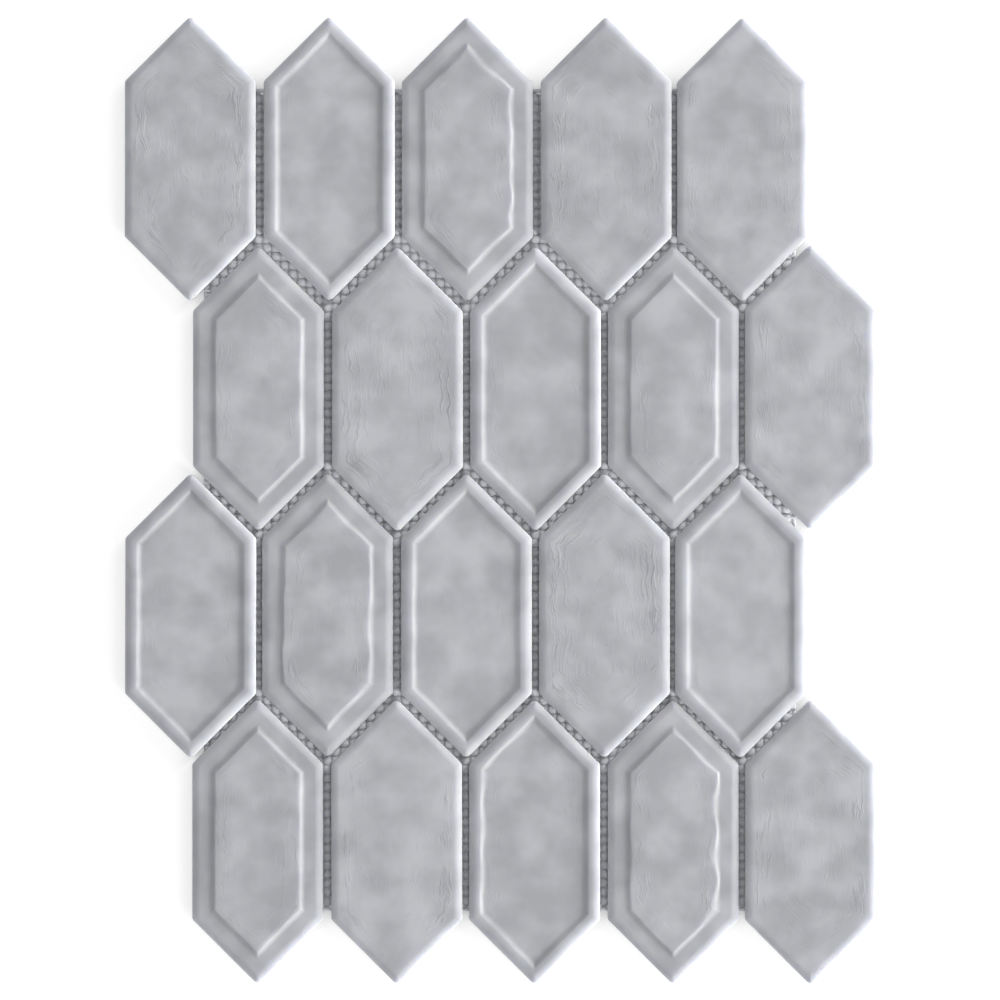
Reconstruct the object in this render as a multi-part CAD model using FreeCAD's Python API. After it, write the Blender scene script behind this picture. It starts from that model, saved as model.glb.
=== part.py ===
"""Interlocking mosaic sheet: elongated-hexagon glass tiles glued face up on a glass-fibre net.

Millimetres. +Z is up out of the tile faces, +Y runs along the tiles, and the origin is the
middle of the underside of the net. Four rows of five tiles interlock by half a tile: rows 1
and 3, counted from the +Y end, stand out towards -X, and rows 2 and 4 towards +X.
"""

import FreeCAD
import Part

import math
import os

# Tile outline: a hexagon whose slanted ends meet the long sides at 45 degrees
TILE_WIDTH = 40.6
TILE_LENGTH = 88.8
TILE_THICKNESS = 6.0
CORNER_RADIUS = 1.6
BACK_EDGE_CHAMFER = 0.5

# Edge of every face: it leans over in a wide curve and ends at the side in a small round arris
EDGE_LEAN_WIDTH = 1.3
EDGE_LEAN_DROP = 0.75
ARRIS_RADIUS = 0.4

# Framed face: a rim whose inner side slopes down to a sunk panel
RIM_FLAT_WIDTH = 0.7
RIM_SLOPE_WIDTH = 2.2
RIM_HEIGHT = 0.6
PANEL_FOOT_RADIUS = 2.8

# Raised face: a low border from which a slope climbs to a raised centre
BORDER_FLAT_WIDTH = 3.0
STEP_SLOPE_WIDTH = 1.9
STEP_HEIGHT = 0.6
STEP_FOOT_RADIUS = 2.15

# Laying pattern: the joint between the long sides, and the joint between the slanted ends
SIDE_JOINT = 2.3
SLANT_JOINT = 2.4
FACES_BY_ROW = (
    ("plain", "framed", "raised", "plain", "plain"),
    ("raised", "plain", "framed", "raised", "plain"),
    ("framed", "raised", "framed", "plain", "framed"),
    ("raised", "plain", "framed", "raised", "plain"),
)

# Net: a laid scrim, its lengthwise strands under its crosswise ones, glued where they cross
NET_SIDE_MARGIN = 3.5
NET_END_MARGIN = 2.6
STRAND_PITCH = 2.7
STRAND_WIDTH = 1.4
STRAND_THICKNESS = 0.5

# Worked out from the sizes above
ROWS = len(FACES_BY_ROW)
COLUMNS = len(FACES_BY_ROW[0])
HALF_WIDTH = TILE_WIDTH / 2
HALF_LENGTH = TILE_LENGTH / 2
SLANT_REACH = HALF_LENGTH / math.sqrt(2)
COLUMN_PITCH = TILE_WIDTH + SIDE_JOINT
ROW_PITCH = TILE_LENGTH - COLUMN_PITCH / 2 + SLANT_JOINT * math.sqrt(2)
ROW_SHIFT = COLUMN_PITCH / 4
NET_TOP = 2 * STRAND_THICKNESS
FACE_TOP = NET_TOP + TILE_THICKNESS
EDGE_LEAN = math.atan(EDGE_LEAN_DROP / EDGE_LEAN_WIDTH)
ARRIS_SETBACK = ARRIS_RADIUS * math.tan((math.pi / 2 - EDGE_LEAN) / 2)
CROWN_SETBACK = math.hypot(EDGE_LEAN_WIDTH, EDGE_LEAN_DROP) - ARRIS_SETBACK
CROWN_RADIUS = CROWN_SETBACK / math.tan(EDGE_LEAN / 2)
EDGE_WIDTH = EDGE_LEAN_WIDTH + CROWN_SETBACK
SHOULDER_Y = HALF_LENGTH - HALF_WIDTH
NET_HALF_WIDTH = (COLUMNS - 1) / 2 * COLUMN_PITCH + HALF_WIDTH - ROW_SHIFT - NET_SIDE_MARGIN
NET_HALF_LENGTH = (ROWS - 1) / 2 * ROW_PITCH + SHOULDER_Y - NET_END_MARGIN
SAME_POINT = 1e-6


def rounded_face(corners):
    """Flat face in the XZ plane from corners (x, z, radius), each corner rounded to its radius."""
    points = [FreeCAD.Vector(x, 0, z) for x, z, radius in corners]
    edges = []
    starts = []
    ends = []
    for index, (x, z, radius) in enumerate(corners):
        here = points[index]
        back = (points[index - 1] - here).normalize()
        ahead = (points[(index + 1) % len(points)] - here).normalize()
        half_angle = back.getAngle(ahead) / 2
        setback = radius / math.tan(half_angle)
        starts.append(here + back * setback)
        ends.append(here + ahead * setback)
        if radius > 0:
            bulge = (back + ahead).normalize() * (radius / math.sin(half_angle) - radius)
            edges.append(Part.Arc(starts[-1], here + bulge, ends[-1]).toShape())
    for index, start in enumerate(starts):
        if not start.isEqual(ends[index - 1], SAME_POINT):
            edges.append(Part.makeLine(ends[index - 1], start))
    return Part.Face(Part.Wire(Part.sortEdges(edges)[0]))


def bar(profile, reach, turn):
    """Long bar with the edge profile on both sides, reach out from its middle, turned about Z.

    A profile point is (inset from the side, height, rounding radius).
    """
    right = [(reach - inset, z, radius) for inset, z, radius in profile]
    left = [(-x, z, radius) for x, z, radius in reversed(right)]
    length = FreeCAD.Vector(0, 2 * TILE_LENGTH, 0)
    shape = rounded_face(right + left).extrude(length)
    shape.translate(length * -0.5)
    shape.rotate(FreeCAD.Vector(0, 0, 0), FreeCAD.Vector(0, 0, 1), turn)
    return shape


def crossed_bars(profile):
    """Hexagonal solid with the same edge profile on its six sides, mitred at the corners."""
    solid = bar(profile, HALF_WIDTH, 0)
    for turn in (45, -45):
        solid = solid.common(bar(profile, SLANT_REACH, turn))
    return solid


def outline_block():
    """Upright block on the tile's outline, with its six corners rounded."""
    corners = (
        (0, HALF_LENGTH),
        (-HALF_WIDTH, SHOULDER_Y),
        (-HALF_WIDTH, -SHOULDER_Y),
        (0, -HALF_LENGTH),
        (HALF_WIDTH, -SHOULDER_Y),
        (HALF_WIDTH, SHOULDER_Y),
    )
    outline = rounded_face([(x, y, CORNER_RADIUS) for x, y in corners])
    outline.rotate(FreeCAD.Vector(0, 0, 0), FreeCAD.Vector(1, 0, 0), -90)
    return outline.extrude(FreeCAD.Vector(0, 0, FACE_TOP))


def side_profile(face_height):
    """Back chamfer, upright side, arris, and the curve that runs into the face."""
    return [
        (BACK_EDGE_CHAMFER, NET_TOP, 0),
        (0, NET_TOP + BACK_EDGE_CHAMFER, 0),
        (0, face_height - EDGE_LEAN_DROP, ARRIS_RADIUS),
        (EDGE_LEAN_WIDTH, face_height, CROWN_RADIUS),
    ]


def slope(foot_inset, crest_inset, low, high, foot_radius):
    """Two profile corners that round to an S-shaped slope, its foot arc running into its crest arc."""
    run = crest_inset - foot_inset
    half_turn = math.atan((high - low) / abs(run))
    crest_radius = abs(run) / math.sin(2 * half_turn) - foot_radius
    setback = math.copysign(math.tan(half_turn), run)
    return [
        (foot_inset + foot_radius * setback, low, foot_radius),
        (crest_inset - crest_radius * setback, high, crest_radius),
    ]


def plain_tile():
    """Flat face."""
    return crossed_bars(side_profile(FACE_TOP)).common(outline_block())


def framed_tile():
    """Rim that slopes down to a sunk panel."""
    panel = FACE_TOP - RIM_HEIGHT
    crest = EDGE_WIDTH + RIM_FLAT_WIDTH
    sunk = slope(crest + RIM_SLOPE_WIDTH, crest, panel, FACE_TOP, PANEL_FOOT_RADIUS)
    above = [(0, FACE_TOP, 0), (0, FACE_TOP + RIM_HEIGHT, 0)]
    return plain_tile().cut(crossed_bars(sunk + above))


def raised_tile():
    """Low border and a raised centre with leaning sides."""
    border = FACE_TOP - STEP_HEIGHT
    foot = EDGE_WIDTH + BORDER_FLAT_WIDTH
    step = slope(foot, foot + STEP_SLOPE_WIDTH, border, FACE_TOP, STEP_FOOT_RADIUS)
    return crossed_bars(side_profile(border) + step).common(outline_block())


def strand_places(half_span):
    """Strand centre lines, spread evenly between the two cut edges of the net."""
    reach = half_span - STRAND_WIDTH / 2
    gaps = round(2 * reach / STRAND_PITCH)
    return [-reach + 2 * reach * step / gaps for step in range(gaps + 1)]


def lengthwise_strands():
    """Lower layer of the net, running along Y."""
    size = (STRAND_WIDTH, 2 * NET_HALF_LENGTH, STRAND_THICKNESS)
    return Part.makeCompound([
        Part.makeBox(*size, FreeCAD.Vector(x - STRAND_WIDTH / 2, -NET_HALF_LENGTH, 0))
        for x in strand_places(NET_HALF_WIDTH)
    ])


def crosswise_strands():
    """Upper layer of the net, running along X, which the tiles are glued to."""
    size = (2 * NET_HALF_WIDTH, STRAND_WIDTH, STRAND_THICKNESS)
    return Part.makeCompound([
        Part.makeBox(*size, FreeCAD.Vector(-NET_HALF_WIDTH, y - STRAND_WIDTH / 2, STRAND_THICKNESS))
        for y in strand_places(NET_HALF_LENGTH)
    ])


def laid_tiles():
    """Every tile of the sheet in its place, by name."""
    faces = {"plain": plain_tile(), "framed": framed_tile(), "raised": raised_tile()}
    laid = {}
    for row, kinds in enumerate(FACES_BY_ROW):
        shift = -ROW_SHIFT if row % 2 == 0 else ROW_SHIFT
        y = ((ROWS - 1) / 2 - row) * ROW_PITCH
        for column, kind in enumerate(kinds):
            x = (column - (COLUMNS - 1) / 2) * COLUMN_PITCH + shift
            tile = faces[kind].copy()
            tile.translate(FreeCAD.Vector(x, y, 0))
            laid[f"{kind}_tile_r{row + 1}c{column + 1}"] = tile
    return laid


def main():
    """Write one STEP file for each piece."""
    os.makedirs("parts", exist_ok=True)
    pieces = laid_tiles()
    pieces["net_lengthwise_strands"] = lengthwise_strands()
    pieces["net_crosswise_strands"] = crosswise_strands()
    for name, shape in pieces.items():
        shape.exportStep(f"parts/{name}.step")
        print(name, "solids", len(shape.Solids), "valid", shape.isValid(), "volume", round(shape.Volume, 1))


main()
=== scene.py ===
# %% [markdown]
# # A glass mosaic sheet
#
# The object is a sheet of wall tiles: twenty long hexagons of pressed grey glass, glued face up
# on a net of glass fibre. Three kinds of face are mixed: plain, framed by a raised rim, and
# raised in the middle behind a low border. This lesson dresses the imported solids: each tile gets
# a finer mesh in the same place, the net gets its yarns and knots of glue, and then come the
# studio light and the camera.

import math

import bpy
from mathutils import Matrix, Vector, noise


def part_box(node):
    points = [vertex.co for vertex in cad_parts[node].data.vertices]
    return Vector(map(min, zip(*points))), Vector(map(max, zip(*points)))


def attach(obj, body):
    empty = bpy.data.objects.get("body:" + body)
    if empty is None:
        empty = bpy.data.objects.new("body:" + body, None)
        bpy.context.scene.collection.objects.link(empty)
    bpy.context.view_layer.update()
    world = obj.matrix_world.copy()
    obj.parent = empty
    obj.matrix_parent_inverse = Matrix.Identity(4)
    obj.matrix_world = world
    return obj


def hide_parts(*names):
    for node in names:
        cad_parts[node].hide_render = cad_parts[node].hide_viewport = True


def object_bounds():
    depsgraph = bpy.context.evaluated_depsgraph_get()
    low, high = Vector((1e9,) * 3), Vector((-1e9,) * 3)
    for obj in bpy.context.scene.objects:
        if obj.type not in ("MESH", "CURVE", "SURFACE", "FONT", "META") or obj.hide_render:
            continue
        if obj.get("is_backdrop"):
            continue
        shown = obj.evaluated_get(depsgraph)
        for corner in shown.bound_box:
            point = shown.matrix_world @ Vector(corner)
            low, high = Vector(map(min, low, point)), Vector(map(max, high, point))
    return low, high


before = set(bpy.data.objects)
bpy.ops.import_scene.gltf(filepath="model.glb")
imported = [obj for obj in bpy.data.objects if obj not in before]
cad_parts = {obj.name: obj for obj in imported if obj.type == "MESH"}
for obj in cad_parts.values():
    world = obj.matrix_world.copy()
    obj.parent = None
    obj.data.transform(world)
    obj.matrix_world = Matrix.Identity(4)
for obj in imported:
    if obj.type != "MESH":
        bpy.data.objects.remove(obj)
cad_low, cad_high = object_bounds()
MM = 0.001
print("solids:", len(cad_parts), "size in mm:", [round(v / MM, 1) for v in cad_high - cad_low])

# %% [markdown]
# ## Helpers
#
# Every node tree below, for a surface or for a shape, is built by one helper. It adds a node,
# sets its options, and fills each input with a value or with a link from another node.
# Colours are written as the hex values a picture would show, and one function turns them into
# the linear numbers that the shaders work in.

# %% Nodes, materials and colours


def add(tree, kind, inputs=None, **options):
    """Add a node, set its options, and fill its inputs with values or links."""
    made = tree.nodes.new(kind)
    for name, value in options.items():
        setattr(made, name, value)
    for name, value in (inputs or {}).items():
        if isinstance(value, bpy.types.NodeSocket):
            tree.links.new(value, made.inputs[name])
        else:
            made.inputs[name].default_value = value
    return made


def empty_material(name):
    """New material whose node tree is still empty."""
    material = bpy.data.materials.new(name)
    material.use_nodes = True
    material.node_tree.nodes.clear()
    return material


def colour(code):
    """Linear RGBA from an sRGB hex code."""
    parts = [int(code[i:i + 2], 16) / 255 for i in (1, 3, 5)]
    linear = [p / 12.92 if p <= 0.04045 else ((p + 0.055) / 1.055) ** 2.4 for p in parts]
    return (*linear, 1.0)


print("mid grey is", [round(v, 3) for v in colour("#B4B5B9")[:3]])

# %% [markdown]
# ## Clouds in the glass
#
# The tiles are opal soda-lime glass, pressed in a mould and fire-polished. The melt is never
# mixed quite evenly, so soft clouds about 10 mm across show in the grey, and each tile as a whole
# is a little lighter or darker. Each tile carries a measure of place in its own mesh, in
# millimetres, with a number of its own as the third part. The noise reads that measure, so no
# two tiles look the same.

# %% Cloudy grey
GLASS_LIGHT = "#BABBBF"
GLASS_DARK = "#A5A6AA"
CLOUD_MM = 11.0
CLOUD_RANGE = (0.32, 0.68)
BATCH_SPREAD = 0.12


def cloudy_grey(tree, place, tile_number):
    """Colour between dark and light grey, from the clouds and from the tile's own batch."""
    clouds = add(tree, "ShaderNodeTexNoise", {
        "Vector": place, "Scale": 1 / CLOUD_MM, "Detail": 2.0})
    cloudy = add(tree, "ShaderNodeMapRange", {
        "Value": clouds.outputs["Fac"], "From Min": CLOUD_RANGE[0], "From Max": CLOUD_RANGE[1]})
    batch = add(tree, "ShaderNodeTexWhiteNoise", {"W": tile_number}, noise_dimensions="1D")
    batch_tone = add(tree, "ShaderNodeMapRange", {
        "Value": batch.outputs["Value"], "To Min": -BATCH_SPREAD, "To Max": BATCH_SPREAD})
    tone = add(tree, "ShaderNodeMath", {
        0: cloudy.outputs[0], 1: batch_tone.outputs[0]}, operation="ADD")
    tint = add(tree, "ShaderNodeMix", {
        0: tone.outputs[0], 6: colour(GLASS_DARK), 7: colour(GLASS_LIGHT)}, data_type="RGBA")
    return tint.outputs[2]


print("clouds are about", CLOUD_MM, "mm across")

# %% [markdown]
# ## Hairlines in the glass
#
# A few millimetres in from its long sides the glass is crazed with long wavy hairlines that nest
# in each other. Contour lines of a smooth noise nest in the same way: wherever the noise passes
# its middle value there is a line. The noise is read at the distance from the nearest side, which
# a wobble pushes to and fro, and at the place along the tile, so its lines run with the sides and
# yet wander. A second noise breaks them into patches, and a measure in the mesh says how much the
# glass is crazed at each place.

# %% Lines that nest
HAIRLINE_ACROSS_MM = 2.0
HAIRLINE_ALONG_MM = 30.0
WOBBLE_MM = 4.0
WOBBLE_EVERY_MM = 5.0
PATCH_MM = 9.0
PATCH_RANGE = (0.42, 0.56)
BETWEEN_PATCHES = 0.12
LINE_REACH = 0.05
FAR_APART = 50.0


def along_the_side(tree, place, inset, parts):
    """Place in the noise of the hairlines: across and along the side, each to its own scale."""
    wobble = add(tree, "ShaderNodeTexNoise", {
        "Vector": place, "Scale": 1 / WOBBLE_EVERY_MM, "Detail": 2.0})
    pushed = add(tree, "ShaderNodeMath", {
        0: wobble.outputs["Fac"], 1: WOBBLE_MM, 2: inset}, operation="MULTIPLY_ADD")
    across = add(tree, "ShaderNodeMath", {
        0: pushed.outputs[0], 1: 1 / HAIRLINE_ACROSS_MM}, operation="MULTIPLY")
    along = add(tree, "ShaderNodeMath", {
        0: parts["Y"], 1: 1 / HAIRLINE_ALONG_MM}, operation="MULTIPLY")
    # The halves of a tile read the noise far apart, so that they don't mirror each other.
    right = add(tree, "ShaderNodeMath", {0: parts["X"], 1: 0.0}, operation="GREATER_THAN")
    half = add(tree, "ShaderNodeMath", {
        0: right.outputs[0], 1: FAR_APART, 2: parts["Z"]}, operation="MULTIPLY_ADD")
    stretched = add(tree, "ShaderNodeCombineXYZ", {
        "X": across.outputs[0], "Y": along.outputs[0], "Z": half.outputs[0]})
    return stretched.outputs[0]


def hairlines(tree, place, inset, crazed, parts):
    """1 on the middle of a hairline, where the glass is fully crazed, and 0 away from one."""
    grain = add(tree, "ShaderNodeTexNoise", {
        "Vector": along_the_side(tree, place, inset, parts), "Scale": 1.0, "Detail": 2.0,
        "Roughness": 0.6, "Distortion": 0.7})
    level = add(tree, "ShaderNodeMath", {0: grain.outputs["Fac"], 1: 0.5}, operation="SUBTRACT")
    away = add(tree, "ShaderNodeMath", {0: level.outputs[0]}, operation="ABSOLUTE")
    line = add(tree, "ShaderNodeMapRange", {
        "Value": away.outputs[0], "From Min": 0.0, "From Max": LINE_REACH,
        "To Min": 1.0, "To Max": 0.0})
    patches = add(tree, "ShaderNodeTexNoise", {
        "Vector": place, "Scale": 1 / PATCH_MM, "Detail": 1.0})
    patchy = add(tree, "ShaderNodeMapRange", {
        "Value": patches.outputs["Fac"], "From Min": PATCH_RANGE[0], "From Max": PATCH_RANGE[1],
        "To Min": BETWEEN_PATCHES})
    where = add(tree, "ShaderNodeMath", {0: crazed, 1: patchy.outputs[0]}, operation="MULTIPLY")
    crackle = add(tree, "ShaderNodeMath", {
        0: line.outputs[0], 1: where.outputs[0]}, operation="MULTIPLY")
    return crackle.outputs[0]


print("the noise is", HAIRLINE_ALONG_MM / HAIRLINE_ACROSS_MM, "times as long as it is wide")

# %% [markdown]
# ## The grey glass
#
# Opal glass is nearly opaque, but light still wanders a millimetre or two inside it, so an edge
# that faces the lamp glows a little way into the face. Subsurface scattering gives that glow. The
# surface is smooth with a soft shine, so a thin coat lies over a duller base. Light is also painted
# into the colour near every edge, lightest at the edge and fading out 2.6 mm in. The hairlines are
# a little darker than the glass and stand out of it by less than 0.2 mm, so they go into the bump.

# %% Opal glass, pressed and fire-polished
HAIRLINE = "#8E8F94"
HAIRLINE_TINT = 0.35
HAIRLINE_HEIGHT_MM = 0.17
# Painted light: a paler grey mixed in near the edges, as if they caught more light.
PAINTED_EDGE_LIGHT = "#D3D4D8"
PAINTED_EDGE_SHARE = 0.2
PAINTED_EDGE_FADE_MM = 2.6
LIGHT_REACH_MM = 3.5


def opal_glass():
    """Grey opal glass: clouds and painted edge light in its colour, hairlines in its colour and its
    surface.
    """
    material = empty_material("opal_glass_pressed_fire_polished")
    tree = material.node_tree
    place = add(tree, "ShaderNodeAttribute", attribute_name="place_mm").outputs["Vector"]
    inset = add(tree, "ShaderNodeAttribute", attribute_name="inset_mm").outputs["Fac"]
    crazed = add(tree, "ShaderNodeAttribute", attribute_name="crazing").outputs["Fac"]
    parts = add(tree, "ShaderNodeSeparateXYZ", {"Vector": place}).outputs
    grey = cloudy_grey(tree, place, parts["Z"])
    lines = hairlines(tree, place, inset, crazed, parts)
    faint = add(tree, "ShaderNodeMath", {0: lines, 1: HAIRLINE_TINT}, operation="MULTIPLY")
    veined = add(tree, "ShaderNodeMix", {
        0: faint.outputs[0], 6: grey, 7: colour(HAIRLINE)}, data_type="RGBA")
    # Painted light: the colour turns lighter within 2.6 mm of every edge, on lit and shaded sides
    # alike.
    edge = add(tree, "ShaderNodeMapRange", {
        "Value": inset, "From Max": PAINTED_EDGE_FADE_MM, "To Min": PAINTED_EDGE_SHARE, "To Max": 0.0})
    with_painted_edge_light = add(tree, "ShaderNodeMix", {
        0: edge.outputs[0], 6: veined.outputs[2], 7: colour(PAINTED_EDGE_LIGHT)}, data_type="RGBA")
    bump = add(tree, "ShaderNodeBump", {
        "Height": lines, "Distance": HAIRLINE_HEIGHT_MM * MM, "Strength": 1.0})
    shader = add(tree, "ShaderNodeBsdfPrincipled", {
        "Base Color": with_painted_edge_light.outputs[2],
        "Roughness": 0.42,
        "Coat Weight": 0.7,
        "Coat Roughness": 0.15,
        "IOR": 1.5,
        "Subsurface Weight": 1.0,
        "Subsurface Radius": (0.9, 0.95, 1.2),
        "Subsurface Scale": LIGHT_REACH_MM * MM,
        "Normal": bump.outputs["Normal"],
        "Coat Normal": bump.outputs["Normal"],
    })
    add(tree, "ShaderNodeOutputMaterial", {"Surface": shader.outputs[0]})
    return material


GLASS = opal_glass()
print(GLASS.name, "has", len(GLASS.node_tree.nodes), "nodes")

# %% [markdown]
# ## The tile's outline
#
# Seen from above, a tile is a long hexagon whose ends come to a right angle. A mesh that follows
# such a form well is made of rings: the outline, then the same outline moved in, step by step,
# to the middle. Each ring has the same number of points, so neighbouring rings join in clean
# four-sided faces and every edge of the relief lies along a ring. The corners of the outline are
# rounded, and further in they keep a small radius, because softened glass has no sharp corner.

# %% Rings of the hexagon
CORNER_RADIUS = 1.6
SOFT_CORNER = 0.45
CORNER_SHARE = 0.3
CORNER_STEPS = {"point": 8, "shoulder": 5}
SIDE_STEPS = {"long": 44, "slant": 20}
SIDES = ("slant", "long", "slant", "slant", "long", "slant")


def turned(vector, angle):
    """A flat vector turned to the left by an angle."""
    cos, sin = math.cos(angle), math.sin(angle)
    return Vector((vector.x * cos - vector.y * sin, vector.x * sin + vector.y * cos))


def ring(half_width, half_length, inset):
    """Points (x, y) of the outline moved in by inset, with rounded corners, in millimetres."""
    side_x = half_width - inset
    point_y = half_length - inset * math.sqrt(2)
    shoulder_y = point_y - side_x
    radius = min(max(CORNER_RADIUS - inset, SOFT_CORNER), CORNER_SHARE * side_x)
    corners = (
        ((0, point_y), "point"),
        ((-side_x, shoulder_y), "shoulder"),
        ((-side_x, -shoulder_y), "shoulder"),
        ((0, -point_y), "point"),
        ((side_x, -shoulder_y), "shoulder"),
        ((side_x, shoulder_y), "shoulder"),
    )
    arcs = []
    for index, (corner, kind) in enumerate(corners):
        here = Vector(corner)
        back = (Vector(corners[index - 1][0]) - here).normalized()
        ahead = (Vector(corners[(index + 1) % len(corners)][0]) - here).normalized()
        half_angle = back.angle(ahead) / 2
        centre = here + (back + ahead).normalized() * (radius / math.sin(half_angle))
        start = here + back * (radius / math.tan(half_angle)) - centre
        sweep = math.pi - 2 * half_angle
        steps = CORNER_STEPS[kind]
        arcs.append([centre + turned(start, sweep * step / steps) for step in range(steps + 1)])
    points = []
    for index, arc in enumerate(arcs):
        points += arc
        last, first = arc[-1], arcs[(index + 1) % len(arcs)][0]
        steps = SIDE_STEPS[SIDES[index]]
        points += [last.lerp(first, step / steps) for step in range(1, steps)]
    return points


sample_low, sample_high = (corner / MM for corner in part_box("framed_tile_r2c3"))
sample_half_width = (sample_high.x - sample_low.x) / 2
sample_half_length = (sample_high.y - sample_low.y) / 2
sample_ring = ring(sample_half_width, sample_half_length, 0)
print("points in a ring:", len(sample_ring))

# %% [markdown]
# ## The edge of a face
#
# The edge leans over in a wide curve, the crown, and ends at the upright side in a small round
# arris, as pressed glass does when fire polishing has softened it. Both are arcs that touch a
# leaning line, so three sizes fix them.

# %% Crown and arris
LEAN_WIDTH, LEAN_DROP, ARRIS_RADIUS = 1.3, 0.75, 0.4
ARRIS_STEPS, CROWN_STEPS = 4, 6


def edge_curve():
    """Points (inset, drop) of the edge, from the upright side over the arris to the flat."""
    lean = math.atan(LEAN_DROP / LEAN_WIDTH)
    arris_setback = ARRIS_RADIUS * math.tan((math.pi / 2 - lean) / 2)
    crown_setback = math.hypot(LEAN_WIDTH, LEAN_DROP) - arris_setback
    crown = crown_setback / math.tan(lean / 2)
    width = LEAN_WIDTH + crown_setback
    side = LEAN_DROP + arris_setback
    arris = [(math.pi / 2 - lean) * step / ARRIS_STEPS for step in range(ARRIS_STEPS)]
    over = [lean * (1 - step / CROWN_STEPS) for step in range(CROWN_STEPS + 1)]
    return [(ARRIS_RADIUS * (1 - math.cos(a)), side - ARRIS_RADIUS * math.sin(a)) for a in arris] + [
        (width - crown * math.sin(a), crown * (1 - math.cos(a))) for a in over]


EDGE = edge_curve()
EDGE_WIDTH, SIDE_DROP = EDGE[-1][0], EDGE[0][1]
print("the edge is", round(EDGE_WIDTH, 2), "mm wide and", round(SIDE_DROP, 2), "mm deep")

# %% [markdown]
# ## The relief of a face
#
# The relief depends only on how far in from the edge a point lies, so each kind of face is one
# curve: height against distance. The framed face keeps its height over the rim and then falls to
# a sunk panel, and the raised face climbs from a low border. Both slopes are S-shaped, a wide
# foot arc and a tighter crest arc that touch, as glass is where it has softened in the mould.

# %% Height of the face at a distance from the edge
RIM_WIDTH, RIM_SLOPE, RIM_HEIGHT = 3.27, 2.2, 0.6
BORDER_WIDTH, STEP_SLOPE, STEP_HEIGHT = 5.57, 1.9, 0.6
SLOPES = {"framed": (RIM_WIDTH, RIM_SLOPE), "raised": (BORDER_WIDTH, STEP_SLOPE)}
FOOT_SHARE = 0.65


def s_curve(t):
    """0 to 1 along an S made of a foot arc and a crest arc that touch."""
    t = min(max(t, 0.0), 1.0)
    if t < FOOT_SHARE:
        return t * t / FOOT_SHARE
    return 1 - (1 - t) ** 2 / (1 - FOOT_SHARE)


def drop(kind, inset, shift=0.0, widen=1.0):
    """How far the face lies below the tile's top, its slope shifted and widened."""
    if kind == "framed":
        return RIM_HEIGHT * (1 - s_curve(1 - (inset - RIM_WIDTH - shift) / (RIM_SLOPE * widen)))
    if kind == "raised":
        return STEP_HEIGHT * (1 - s_curve((inset - BORDER_WIDTH - shift) / (STEP_SLOPE * widen)))
    return 0.0


print("drop in the middle of a framed face:", drop("framed", sample_half_width), "mm")

# %% [markdown]
# ## Where the rings go
#
# Rings cost faces, so they lie close together on a slope and wide apart on the flat. The sizes
# below are distances between neighbouring rings, in millimetres.

# %% Rings of each kind of face
AFTER_EDGE, BORDER_STEP, BEFORE_SLOPE, AFTER_SLOPE, PANEL_STEP = 0.2, 0.8, 0.9, 0.6, 1.2
SLOPE_STEPS = 11
LEFT_IN_THE_MIDDLE, LAST_LEFT = 3.0, 0.9


def face_insets(kind, half_width):
    """Distances of the rings on the face, from its edge to its middle."""
    insets = [EDGE_WIDTH + AFTER_EDGE]
    if kind in SLOPES:
        start, width = SLOPES[kind]
        while insets[-1] < start - BEFORE_SLOPE:
            insets.append(insets[-1] + BORDER_STEP)
        insets += [start + width * step / SLOPE_STEPS for step in range(SLOPE_STEPS + 1)]
        insets.append(start + width + AFTER_SLOPE)
    while insets[-1] < half_width - LEFT_IN_THE_MIDDLE:
        insets.append(insets[-1] + PANEL_STEP)
    return insets + [half_width - LAST_LEFT]


print("rings on a framed face:", len(face_insets("framed", sample_half_width)))

# %% [markdown]
# ## Slopes that wave
#
# Pressed glass is never quite regular. On four tiles a slope wanders in and out along one side,
# and on the others it does so just enough to keep the light on it from looking ruled. Smooth
# noise, read along the tile, shifts the slope to and fro, and a second reading widens it.

# %% Waves
# How much the slope waves along the left and along the right side of a tile.
WAVY = {"r1c3": (0.2, 1.0), "r3c2": (1.0, 0.7), "r4c3": (0.8, 0.2), "r4c4": (0.2, 1.0)}
CALM = (0.2, 0.2)
WAVE_SHIFT_MM, WAVE_WIDEN = 0.12, 0.5
SHIFTS_PER_MM, WIDENINGS_PER_MM, CHANGES_ACROSS_PER_MM = 0.09, 0.12, 0.02
SECOND_READING = 9.0


def waved_drop(kind, inset, point, half_width, seed, waves):
    """How far the face lies below the tile's top at a point, with the waves in its slope."""
    side = min(max(point.x / half_width + 0.5, 0.0), 1.0)
    wave = waves[0] + (waves[1] - waves[0]) * side
    across = point.x * CHANGES_ACROSS_PER_MM + seed
    ripple = noise.noise(Vector((across, point.y * SHIFTS_PER_MM, seed)))
    swell = noise.noise(Vector((across, point.y * WIDENINGS_PER_MM, seed + SECOND_READING)))
    shift = 2 * WAVE_SHIFT_MM * wave * ripple
    return drop(kind, inset, shift, 1 + 2 * WAVE_WIDEN * wave * swell)


print("tiles with clear waves:", sorted(WAVY))

# %% [markdown]
# ## Where the glass is crazed
#
# The hairlines lie just inside the relief and beside the long sides, and fade out towards the
# middle and the two ends. Some tiles are far more crazed than others, and the framed faces
# hardly are. The measure made here goes into the mesh, and the glass reads it.

# %% Crazing
CRAZED = {"r1c1": 0.9, "r1c4": 0.7, "r2c2": 1.0, "r3c4": 1.0, "r4c5": 0.8}
SOME_CRAZING = {"plain": 0.6, "framed": 0.2, "raised": 0.35}
CRAZED_RISE_MM = 0.8
CRAZED_BAND_MM, CRAZED_FADE_MM, LEAST_IN_MIDDLE = 7.5, 4.0, 0.25
CRAZED_END_MM, CRAZED_END_FADE_MM, LEAST_AT_END = 31.0, 8.0, 0.35


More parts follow.
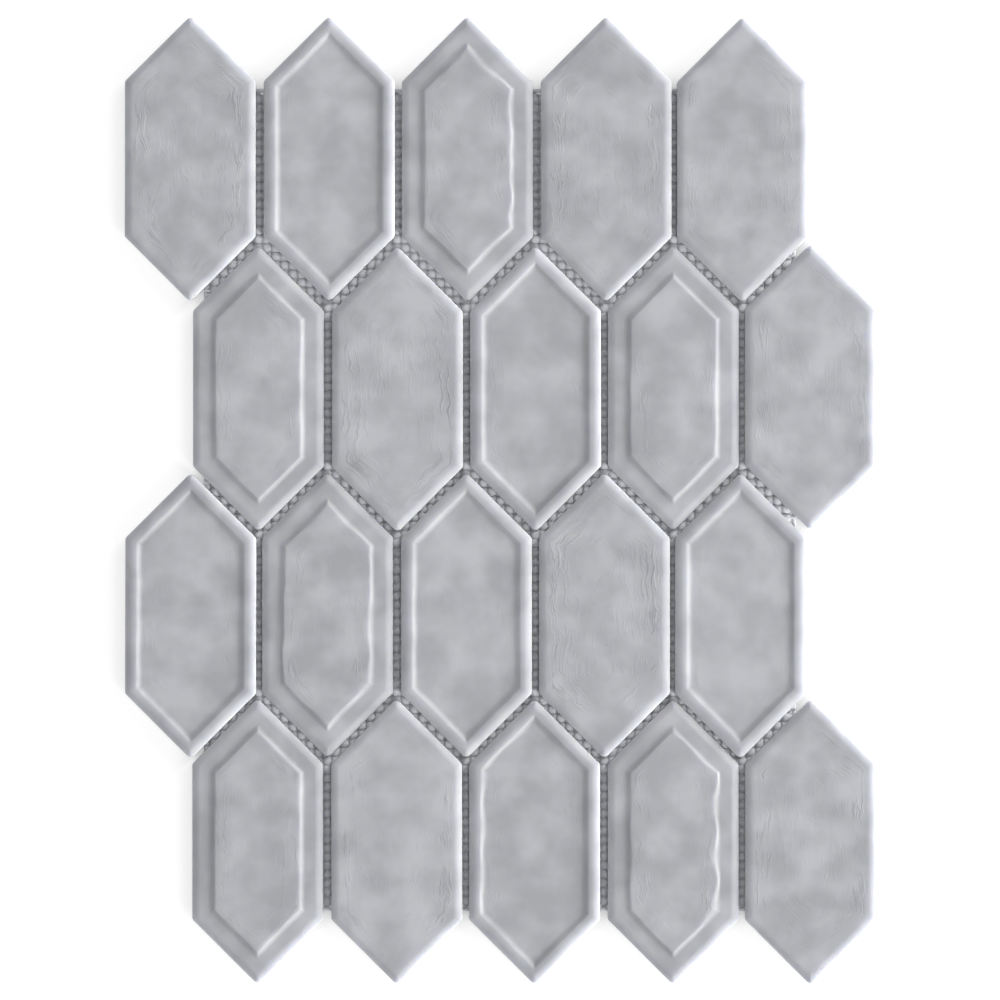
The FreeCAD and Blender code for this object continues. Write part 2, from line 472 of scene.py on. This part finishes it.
def crazing(kind, inset, along, seat):
    """How much the glass is crazed at a distance from the edge and a place along the tile."""
    start, width = SLOPES.get(kind, (EDGE_WIDTH, 0.0))
    away = inset - (start + width)
    rise = min(max(away / CRAZED_RISE_MM, 0.0), 1.0)
    fade = min(max((CRAZED_BAND_MM - away) / CRAZED_FADE_MM, LEAST_IN_MIDDLE), 1.0)
    beside = min(max((CRAZED_END_MM - abs(along)) / CRAZED_END_FADE_MM, LEAST_AT_END), 1.0)
    return CRAZED.get(seat, SOME_CRAZING[kind]) * rise * fade * beside


print("crazing of a plain face 5 mm in:", crazing("plain", 5.0, 0.0, "r2c2"))

# %% [markdown]
# ## How each tile lies
#
# A worker or a jig drops each tile into place on the net, and none lies exactly true. The slips
# below, in millimetres and degrees, are small, yet without them the joints look drawn by a
# machine. Each slip is kept inside the sheet's own box.

# %% Slips
SLIPS = {
    "r1c1": (0.49, -0.35, -0.1), "r1c2": (0.7, -0.3, 0.0), "r1c3": (0.65, -0.4, 0.1),
    "r1c4": (0.75, -0.4, 0.0), "r1c5": (0.11, -0.6, 0.0), "r2c1": (0.17, -0.8, 0.0),
    "r2c2": (0.4, -1.1, 0.0), "r2c3": (0.3, -0.85, 0.1), "r2c4": (0.15, -0.7, 0.0),
    "r2c5": (-0.3, -0.4, 0.0), "r3c1": (0.6, -0.55, -0.1), "r3c2": (0.15, -0.3, 0.0),
    "r3c3": (0.33, -0.5, 0.0), "r3c4": (0.25, -0.45, 0.0), "r3c5": (-0.5, -0.6, 0.0),
    "r4c1": (-0.07, 0.2, 0.0), "r4c2": (0.15, 0.15, 0.1), "r4c3": (0.0, 0.1, 0.0),
    "r4c4": (0.1, 0.1, 0.0), "r4c5": (-0.2, 0.0, 0.0),
}
print("longest slip in mm:", round(max(math.hypot(x, y) for x, y, turn in SLIPS.values()), 2))

# %% [markdown]
# ## A tile's mesh
#
# A tile is one closed mesh: the back with its chamfer, the upright side, the edge and the face,
# ring after ring. The first and the last ring are each closed by a strip of four-sided faces that
# join their left half to their right half. The place of each point, its distance from the edge
# and its crazing go into the mesh as attributes, which is how the glass knows where it is.

# %% Rings joined to a closed tile
BACK_CHAMFER = 0.5
SIDE_BELOW_ARRIS = 1.5
SEED_STEP = 17.0
SHARP_DEG = 40


def closing_strip(loop, facing_down):
    """Faces that close a ring, joining its left half to its right half."""
    loop = list(loop)
    top = CORNER_STEPS["point"] // 2
    loop = loop[top:] + loop[:top]
    half = len(loop) // 2
    strip = []
    for i in range(half):
        face = [loop[i], loop[i + 1], loop[-i - 1], loop[-i]] if i else [loop[0], loop[1], loop[-1]]
        face = face if i < half - 1 else [loop[i], loop[half], loop[-i]]
        strip.append(tuple(face[::-1] if facing_down else face))
    return strip


def tile_mesh(name, kind, seat):
    """Closed mesh of one tile in its place, with its distances kept for the material."""
    low, high = (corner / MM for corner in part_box(name))
    half_width = (high.x - low.x) / 2
    half_length = (high.y - low.y) / 2 + CORNER_RADIUS * (math.sqrt(2) - 1)
    slip_x, slip_y, turn = SLIPS[seat]
    centre = Vector(((low.x + high.x) / 2 + slip_x, (low.y + high.y) / 2 + slip_y))
    seed = SEED_STEP * list(SLIPS).index(seat)
    waves = WAVY.get(seat, CALM)
    edge_top = high.z - drop(kind, 0.0)

    levels = [(BACK_CHAMFER, low.z, False), (0.0, low.z + BACK_CHAMFER, False)]
    levels += [(0.0, edge_top - SIDE_DROP - SIDE_BELOW_ARRIS, False)]
    levels += [(inset, edge_top - fall, False) for inset, fall in EDGE]
    levels += [(inset, high.z, True) for inset in face_insets(kind, half_width)]

    verts, places, insets, crazes = [], [], [], []
    for inset, height, on_face in levels:
        for point in ring(half_width, half_length, inset):
            fall = waved_drop(kind, inset, point, half_width, seed, waves) if on_face else 0.0
            spot = turned(point, math.radians(turn)) + centre
            verts.append((spot.x * MM, spot.y * MM, (height - fall) * MM))
            places += [point.x, point.y, seed]
            insets.append(inset)
            crazes.append(crazing(kind, inset, point.y, seat))

    count = len(verts) // len(levels)
    faces = [
        (row * count + i, row * count + (i + 1) % count,
         (row + 1) * count + (i + 1) % count, (row + 1) * count + i)
        for row in range(len(levels) - 1) for i in range(count)
    ]
    faces += closing_strip(range(count), True)
    faces += closing_strip(range(len(verts) - count, len(verts)), False)
    mesh = bpy.data.meshes.new(name + "_glass")
    mesh.from_pydata(verts, [], faces)
    mesh.attributes.new("place_mm", "FLOAT_VECTOR", "POINT").data.foreach_set("vector", places)
    mesh.attributes.new("inset_mm", "FLOAT", "POINT").data.foreach_set("value", insets)
    mesh.attributes.new("crazing", "FLOAT", "POINT").data.foreach_set("value", crazes)
    mesh.shade_smooth()
    mesh.set_sharp_from_angle(angle=math.radians(SHARP_DEG))
    mesh.materials.append(GLASS)
    return mesh


print("faces in a closing strip:", len(closing_strip(range(len(sample_ring)), False)))

# %% [markdown]
# ## Laying the tiles
# Each finer piece takes the place of its own solid. All of them ride on the sheet's one body and
# share one glass material, so whoever uses the part can give every tile another finish at once.

# %% Twenty tiles


def lay_tiles():
    """Every tile as a finer piece that stands for its solid."""
    laid = []
    for name in sorted(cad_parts):
        kind, _, seat = name.partition("_tile_")
        if not seat:
            continue
        piece = bpy.data.objects.new(f"glass_{kind}_{seat}", tile_mesh(name, kind, seat))
        bpy.context.scene.collection.objects.link(piece)
        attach(piece, "root")
        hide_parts(name)
        laid.append(piece)
    return laid


tiles = lay_tiles()
print("tiles:", len(tiles), "faces in all:", sum(len(tile.data.polygons) for tile in tiles))

# %% [markdown]
# ## The net's fibre
#
# The net is a scrim: yarns of glass fibre laid in two layers, across each other, and stuck
# together by a resin that gathers in knots where they cross. The fibre under its resin is nearly
# white and dull, and it only looks grey in the joints because it lies deep in them. A slight
# unevenness, a little finer than a yarn, keeps it from looking like smooth plastic.

# %% Resin-coated glass-fibre yarn
YARN_LIGHT = "#F9FAFE"
YARN_DARK = "#F3F4F9"
UNEVEN_MM = 0.7
UNEVEN_RANGE = (0.35, 0.65)
UNEVEN_HEIGHT_MM = 0.03


def resin_fibre():
    """Dull, slightly uneven white of glass fibre under resin."""
    material = empty_material("glass_fibre_resin_coated")
    tree = material.node_tree
    place = add(tree, "ShaderNodeTexCoord").outputs["Object"]
    uneven = add(tree, "ShaderNodeTexNoise", {
        "Vector": place, "Scale": 1 / (UNEVEN_MM * MM), "Detail": 2.0}).outputs["Fac"]
    tone = add(tree, "ShaderNodeMapRange", {
        "Value": uneven, "From Min": UNEVEN_RANGE[0], "From Max": UNEVEN_RANGE[1]})
    tint = add(tree, "ShaderNodeMix", {
        0: tone.outputs[0], 6: colour(YARN_DARK), 7: colour(YARN_LIGHT)}, data_type="RGBA")
    bump = add(tree, "ShaderNodeBump", {
        "Height": uneven, "Distance": UNEVEN_HEIGHT_MM * MM, "Strength": 0.5})
    shader = add(tree, "ShaderNodeBsdfPrincipled", {
        "Base Color": tint.outputs[2], "Roughness": 0.55, "IOR": 1.5,
        "Normal": bump.outputs["Normal"]})
    add(tree, "ShaderNodeOutputMaterial", {"Surface": shader.outputs[0]})
    return material


FIBRE = resin_fibre()
print(FIBRE.name, "has", len(FIBRE.node_tree.nodes), "nodes")

# %% [markdown]
# ## A tree for the yarns
#
# The net repeats by rule, which is what geometry nodes are for. One tree lays a row of yarns and
# serves both layers. A yarn starts as a line with a six-sided section one unit wide, and is
# scaled to its width and thickness. The row is then bent a little to the side by a smooth noise.
# All sizes are named inputs, and the tree ends by making its instances real.

# %% A row of yarns
BEND_EVERY_MM = 6.25


def new_tree(name, inputs):
    """Geometry tree with named inputs, and the sockets that give them."""
    tree = bpy.data.node_groups.new(name, "GeometryNodeTree")
    for label, kind in inputs.items():
        tree.interface.new_socket(name=label, in_out="INPUT", socket_type=kind)
    tree.interface.new_socket(name="Geometry", in_out="OUTPUT", socket_type="NodeSocketGeometry")
    return tree, tree.nodes.new("NodeGroupInput").outputs


def finish_tree(tree, shape):
    """Realize the instances, shade them smooth, give them the fibre and send them out."""
    real = add(tree, "GeometryNodeRealizeInstances", {"Geometry": shape})
    smooth = add(tree, "GeometryNodeSetShadeSmooth", {"Geometry": real.outputs[0]})
    dressed = add(tree, "GeometryNodeSetMaterial", {
        "Geometry": smooth.outputs[0], "Material": FIBRE})
    add(tree, "NodeGroupOutput", {"Geometry": dressed.outputs[0]})


def yarn_tree():
    """A row of flat yarns along Y, evenly spaced along X and slightly wavy, turned about Z."""
    tree, size = new_tree("row_of_yarns", {
        "Yarns": "NodeSocketInt", "Spacing": "NodeSocketFloat", "Length": "NodeSocketFloat",
        "Points": "NodeSocketInt", "Width": "NodeSocketFloat", "Thickness": "NodeSocketFloat",
        "Height": "NodeSocketFloat", "Waviness": "NodeSocketFloat", "Turn": "NodeSocketFloat",
        "Seed": "NodeSocketFloat",
    })
    half = add(tree, "ShaderNodeMath", {0: size["Length"], 1: 0.5}, operation="MULTIPLY")
    low_end = add(tree, "ShaderNodeMath", {0: half.outputs[0], 1: -1.0}, operation="MULTIPLY")
    start = add(tree, "ShaderNodeCombineXYZ", {"Y": low_end.outputs[0]})
    end = add(tree, "ShaderNodeCombineXYZ", {"Y": half.outputs[0]})
    line = add(tree, "GeometryNodeCurvePrimitiveLine", {
        "Start": start.outputs[0], "End": end.outputs[0]})
    divided = add(tree, "GeometryNodeResampleCurve", {
        "Curve": line.outputs[0], "Count": size["Points"]})
    section = add(tree, "GeometryNodeCurvePrimitiveCircle", {"Resolution": 6, "Radius": 0.5})
    tube = add(tree, "GeometryNodeCurveToMesh", {
        "Curve": divided.outputs[0], "Profile Curve": section.outputs[0], "Fill Caps": True})
    flat = add(tree, "ShaderNodeCombineXYZ", {
        "X": size["Width"], "Y": 1.0, "Z": size["Thickness"]})
    yarn = add(tree, "GeometryNodeTransform", {
        "Geometry": tube.outputs[0], "Scale": flat.outputs[0]})
    gaps = add(tree, "ShaderNodeMath", {0: size["Yarns"], 1: 1.0}, operation="SUBTRACT")
    span = add(tree, "ShaderNodeMath", {
        0: gaps.outputs[0], 1: size["Spacing"]}, operation="MULTIPLY")
    first = add(tree, "ShaderNodeMath", {0: span.outputs[0], 1: -0.5}, operation="MULTIPLY")
    first_place = add(tree, "ShaderNodeCombineXYZ", {"X": first.outputs[0]})
    next_one = add(tree, "ShaderNodeCombineXYZ", {"X": size["Spacing"]})
    row = add(tree, "GeometryNodeMeshLine", {
        "Count": size["Yarns"], "Start Location": first_place.outputs[0],
        "Offset": next_one.outputs[0]})
    laid = add(tree, "GeometryNodeInstanceOnPoints", {
        "Points": row.outputs[0], "Instance": yarn.outputs[0]})
    real = add(tree, "GeometryNodeRealizeInstances", {"Geometry": laid.outputs[0]})
    bends = add(tree, "ShaderNodeTexNoise", {
        "Vector": add(tree, "GeometryNodeInputPosition").outputs[0], "W": size["Seed"],
        "Scale": 1 / (BEND_EVERY_MM * MM), "Detail": 0.0}, noise_dimensions="4D")
    centred = add(tree, "ShaderNodeMath", {
        0: bends.outputs["Fac"], 1: 0.5}, operation="SUBTRACT")
    aside = add(tree, "ShaderNodeMath", {
        0: centred.outputs[0], 1: size["Waviness"]}, operation="MULTIPLY")
    sideways = add(tree, "ShaderNodeCombineXYZ", {"X": aside.outputs[0]})
    wavy = add(tree, "GeometryNodeSetPosition", {
        "Geometry": real.outputs[0], "Offset": sideways.outputs[0]})
    lift = add(tree, "ShaderNodeCombineXYZ", {"Z": size["Height"]})
    heading = add(tree, "ShaderNodeCombineXYZ", {"Z": size["Turn"]})
    placed = add(tree, "GeometryNodeTransform", {
        "Geometry": wavy.outputs[0], "Translation": lift.outputs[0],
        "Rotation": heading.outputs[0]})
    finish_tree(tree, placed.outputs[0])
    return tree


YARNS = yarn_tree()
print(YARNS.name, "has", len(YARNS.nodes), "nodes")

# %% [markdown]
# ## A tree for the knots
#
# Resin and glue gather where the yarns cross and nearly fill the net, so in the joints it shows
# as rows of low round lumps. A second tree drops a flattened ball of 20 faces on each crossing.
# No two are quite the same width, and each is turned its own way.

# %% A knot on every crossing
FULL_TURN = 6.283


def knot_tree():
    """A blob of glue on every crossing, each of its own width and turned its own way."""
    tree, size = new_tree("glue_knots", {
        "Across": "NodeSocketInt", "Along": "NodeSocketInt", "Width Of Net": "NodeSocketFloat",
        "Length Of Net": "NodeSocketFloat", "Smallest": "NodeSocketVector",
        "Largest": "NodeSocketVector", "Height": "NodeSocketFloat", "Seed": "NodeSocketInt",
    })
    grid = add(tree, "GeometryNodeMeshGrid", {
        "Size X": size["Width Of Net"], "Size Y": size["Length Of Net"],
        "Vertices X": size["Across"], "Vertices Y": size["Along"]})
    blob = add(tree, "GeometryNodeMeshIcoSphere", {"Radius": 0.5, "Subdivisions": 1})
    spread = add(tree, "FunctionNodeRandomValue", {
        0: size["Smallest"], 1: size["Largest"], "Seed": size["Seed"]}, data_type="FLOAT_VECTOR")
    spin = add(tree, "FunctionNodeRandomValue", {
        2: 0.0, 3: FULL_TURN, "Seed": size["Seed"]}, data_type="FLOAT")
    heading = add(tree, "ShaderNodeCombineXYZ", {"Z": spin.outputs[1]})
    laid = add(tree, "GeometryNodeInstanceOnPoints", {
        "Points": grid.outputs["Mesh"], "Instance": blob.outputs["Mesh"],
        "Rotation": heading.outputs[0], "Scale": spread.outputs[0]})
    lift = add(tree, "ShaderNodeCombineXYZ", {"Z": size["Height"]})
    placed = add(tree, "GeometryNodeTransform", {
        "Geometry": laid.outputs[0], "Translation": lift.outputs[0]})
    finish_tree(tree, placed.outputs[0])
    return tree


KNOTS = knot_tree()
print(KNOTS.name, "has", len(KNOTS.nodes), "nodes")

# %% [markdown]
# ## Sizes of the net
#
# The net's size and the thickness of a layer come from the solid of the lengthwise strands, and
# the counts follow from the spacing. Heights and thicknesses are in layers. The lumps are wider
# than the spacing, so neighbours overlap, and low enough to stay under the backs of the tiles.

# %% Counts, widths and heights
YARN_PITCH = 2.7 * MM
YARN_WIDTH = 1.1 * MM
YARN_WAVINESS = 0.5 * MM
YARN_FROM_CUT_EDGE = 0.5 * MM
KNOT_WIDTHS = (4.2 * MM, 4.8 * MM)
KNOT_LAYERS = (1.0, 1.1)
KNOT_HEIGHT = 1.45
LENGTHWISE_HEIGHT, CROSSWISE_HEIGHT = 0.5, 1.4
CROSSWISE_THICKNESS = 0.8
net_low, net_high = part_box("net_lengthwise_strands")
layer = net_high.z - net_low.z
net_width = net_high.x - net_low.x - 2 * YARN_FROM_CUT_EDGE
net_length = net_high.y - net_low.y - 2 * YARN_FROM_CUT_EDGE
across = round(net_width / YARN_PITCH) + 1
along = round(net_length / YARN_PITCH) + 1
spacing_across = net_width / (across - 1)
spacing_along = net_length / (along - 1)
print("yarns:", across, "lengthwise and", along, "crosswise")

# %% [markdown]
# ## Growing the net's pieces
#
# A piece starts as an empty mesh with the tree as its modifier. The inputs are set by their
# identifiers, the result is taken as a plain mesh, and the modifier goes. The outermost crossings
# get no knot, or the glue would stand out beyond the net's cut edge.

# %% Yarns and knots


def grown(name, tree, sizes):
    """Plain mesh piece made by a geometry tree with these sizes."""
    piece = bpy.data.objects.new(name, bpy.data.meshes.new(name))
    bpy.context.scene.collection.objects.link(piece)
    modifier = piece.modifiers.new(tree.name, "NODES")
    modifier.node_group = tree
    for socket in tree.interface.items_tree:
        if socket.in_out == "INPUT":
            modifier[socket.identifier] = sizes[socket.name]
    bpy.context.view_layer.update()
    made = piece.evaluated_get(bpy.context.evaluated_depsgraph_get())
    piece.data = bpy.data.meshes.new_from_object(made)
    piece.modifiers.clear()
    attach(piece, "root")
    print(name, "faces:", len(piece.data.polygons))
    return piece


lengthwise = grown("net_lengthwise_yarns", YARNS, {
    "Yarns": across, "Spacing": spacing_across, "Length": net_high.y - net_low.y,
    "Points": 2 * along, "Width": YARN_WIDTH, "Thickness": layer,
    "Height": layer * LENGTHWISE_HEIGHT, "Waviness": YARN_WAVINESS, "Turn": 0.0, "Seed": 3.0})
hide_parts("net_lengthwise_strands")
crosswise = grown("net_crosswise_yarns", YARNS, {
    "Yarns": along, "Spacing": spacing_along, "Length": net_high.x - net_low.x,
    "Points": 2 * across, "Width": YARN_WIDTH, "Thickness": CROSSWISE_THICKNESS * layer,
    "Height": layer * CROSSWISE_HEIGHT, "Waviness": YARN_WAVINESS, "Turn": math.pi / 2,
    "Seed": 8.0})
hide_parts("net_crosswise_strands")
grown("net_glue_knots", KNOTS, {
    "Across": across - 2, "Along": along - 2,
    "Width Of Net": net_width * (across - 3) / (across - 1),
    "Length Of Net": net_length * (along - 3) / (along - 1),
    "Smallest": (KNOT_WIDTHS[0], KNOT_WIDTHS[0], KNOT_LAYERS[0] * layer),
    "Largest": (KNOT_WIDTHS[1], KNOT_WIDTHS[1], KNOT_LAYERS[1] * layer),
    "Height": KNOT_HEIGHT * layer, "Seed": 5})

# %% [markdown]
# ## The floor
#
# The sheet lies on a sweep of white paper. Under these lamps plain paper would come out grey, so
# the floor glows a little to the camera and in reflections, and is plain paper for all other
# light. It still takes the sheet's shadow. No light gets under the sheet, so the glow fades out
# where the floor is covered. Ambient occlusion says where that is, and two samples are enough.

# %% White paper
FLOOR_REACH = 8.0
PAPER = "#F2F2F2"
PAPER_UNDER_GLOW = "#8C8C8C"
COVER_REACH = 0.03
COVER_RANGE = (0.2, 0.45)
GLOW_RANGE = (0.22, 0.82)


def white_floor():
    """A wide white floor that is bright to the camera and plain to everything else."""
    mesh = bpy.data.meshes.new("floor")
    corners = [(x * FLOOR_REACH, y * FLOOR_REACH, 0) for x, y in ((-1, -1), (1, -1), (1, 1), (-1, 1))]
    mesh.from_pydata(corners, [], [(0, 1, 2, 3)])
    floor = bpy.data.objects.new("studio_floor", mesh)
    bpy.context.scene.collection.objects.link(floor)
    material = empty_material("white_paper_sweep")
    tree = material.node_tree
    paper = add(tree, "ShaderNodeBsdfDiffuse", {"Color": colour(PAPER)})
    shaded = add(tree, "ShaderNodeBsdfDiffuse", {"Color": colour(PAPER_UNDER_GLOW)})
    cover = add(tree, "ShaderNodeAmbientOcclusion", {"Distance": COVER_REACH}, samples=2)
    open_sky = add(tree, "ShaderNodeMapRange", {
        "Value": cover.outputs["AO"], "From Min": COVER_RANGE[0], "From Max": COVER_RANGE[1],
        "To Min": GLOW_RANGE[0], "To Max": GLOW_RANGE[1]})
    glow = add(tree, "ShaderNodeEmission", {
        "Color": (1, 1, 1, 1), "Strength": open_sky.outputs[0]})
    seen = add(tree, "ShaderNodeAddShader", {0: shaded.outputs[0], 1: glow.outputs[0]})
    path = add(tree, "ShaderNodeLightPath").outputs
    direct = add(tree, "ShaderNodeMath", {
        0: path["Is Camera Ray"], 1: path["Is Glossy Ray"]}, operation="MAXIMUM")
    sight = add(tree, "ShaderNodeMath", {
        0: direct.outputs[0], 1: path["Is Transmission Ray"]}, operation="MAXIMUM")
    surface = add(tree, "ShaderNodeMixShader", {
        0: sight.outputs[0], 1: paper.outputs[0], 2: seen.outputs[0]})
    add(tree, "ShaderNodeOutputMaterial", {"Surface": surface.outputs[0]})
    mesh.materials.append(material)
    floor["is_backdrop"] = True


white_floor()
print("floor is", 2 * FLOOR_REACH, "m wide")

# %% [markdown]
# ## The sky
#
# A studio's walls and ceiling throw light back from all round, which fills the shadows. The sky
# does the same here, and is plain white where the camera looks past the floor.

# %% Even light from all round
SKY_STRENGTH = 0.36


def studio_sky(strength):
    """Even light from all round, and white where the camera looks past the floor."""
    world = bpy.data.worlds.new("studio_sky")
    bpy.context.scene.world = world
    world.use_nodes = True
    tree = world.node_tree
    tree.nodes.clear()
    path = add(tree, "ShaderNodeLightPath").outputs
    sight = add(tree, "ShaderNodeMath", {
        0: path["Is Camera Ray"], 1: path["Is Transmission Ray"]}, operation="MAXIMUM")
    amount = add(tree, "ShaderNodeMapRange", {
        "Value": sight.outputs[0], "To Min": strength, "To Max": 1.0})
    light = add(tree, "ShaderNodeBackground", {
        "Color": (1, 1, 1, 1), "Strength": amount.outputs[0]})
    add(tree, "ShaderNodeOutputWorld", {"Surface": light.outputs[0]})


studio_sky(SKY_STRENGTH)
print("sky strength:", SKY_STRENGTH)

# %% [markdown]
# ## The lamps
#
# Two long strips stand low on the right, one a little behind the sheet and one in front of it.
# They rake over the relief, so every edge that faces them lights up and each step throws a soft
# shadow a few millimetres long. Light as low as that never reaches the net. So two tall narrow
# boxes stand higher up, in line with the slanted joints, and a third strip hangs overhead in line
# with the upright ones. The lamps are left out of reflections, or the glass would turn white to a
# camera on the far side.

# %% Five soft lamps
# Name, distance in metres, height and turn in degrees, size up and across in metres, power in watts
LAMPS = (
    ("low_strip_box_behind", 3.6, 9.5, 18.0, 0.9, 4.8, 178.0),
    ("low_strip_box_in_front", 2.8, 9.5, -30.0, 0.7, 4.8, 146.0),
    ("tall_box_in_front", 3.0, 42.0, -45.0, 1.5, 0.3, 26.5),
    ("tall_box_behind", 3.0, 42.0, 45.0, 1.5, 0.3, 25.0),
    ("overhead_strip", 3.0, 88.0, 0.0, 0.25, 1.6, 9.0),
)


def soft_lamp(name, distance, height_deg, turn_deg, up, across, power):
    """A soft box that faces the sheet from this distance and direction."""
    rise, turn = math.radians(height_deg), math.radians(turn_deg)
    flat = Vector((math.cos(turn), math.sin(turn), 0.0))
    place = (flat * math.cos(rise) + Vector((0.0, 0.0, math.sin(rise)))) * distance
    lamp = bpy.data.lights.new(name, "AREA")
    lamp.shape, lamp.size, lamp.size_y, lamp.energy = "RECTANGLE", across, up, power
    stand = bpy.data.objects.new(name, lamp)
    stand.location = place
    stand.rotation_euler = (-place).to_track_quat("-Z", "Y").to_euler()
    stand.visible_glossy = False
    bpy.context.scene.collection.objects.link(stand)


for settings in LAMPS:
    soft_lamp(*settings)
print("lamps:", [lamp.name for lamp in bpy.data.lights])

# %% [markdown]
# ## Camera
#
# The sheet is seen from straight above, and its outline shows hardly any perspective, so a long
# lens stands far off. The picture is 310 mm wide at the height of the faces.

# %% A long lens straight above
LENS, SENSOR = 300.0, 36.0
PICTURE_WIDTH = 0.30995
FARTHEST = 50.0
camera_data = bpy.data.cameras.new("camera")
camera_data.lens, camera_data.sensor_width = LENS, SENSOR
camera_data.clip_end = FARTHEST
camera = bpy.data.objects.new("camera", camera_data)
camera.location = (0, 0, cad_high.z + PICTURE_WIDTH * LENS / SENSOR)
bpy.context.scene.collection.objects.link(camera)
bpy.context.scene.camera = camera
bpy.context.scene.view_settings.view_transform = "Standard"
print("camera height:", round(camera.location.z, 3))

# %% Check that everything stays inside the solids' box
ROUNDING = 1e-5
low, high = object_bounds()
inside = all(
    low[i] >= cad_low[i] - ROUNDING and high[i] <= cad_high[i] + ROUNDING for i in range(3))
print("inside the solids' box:", inside)
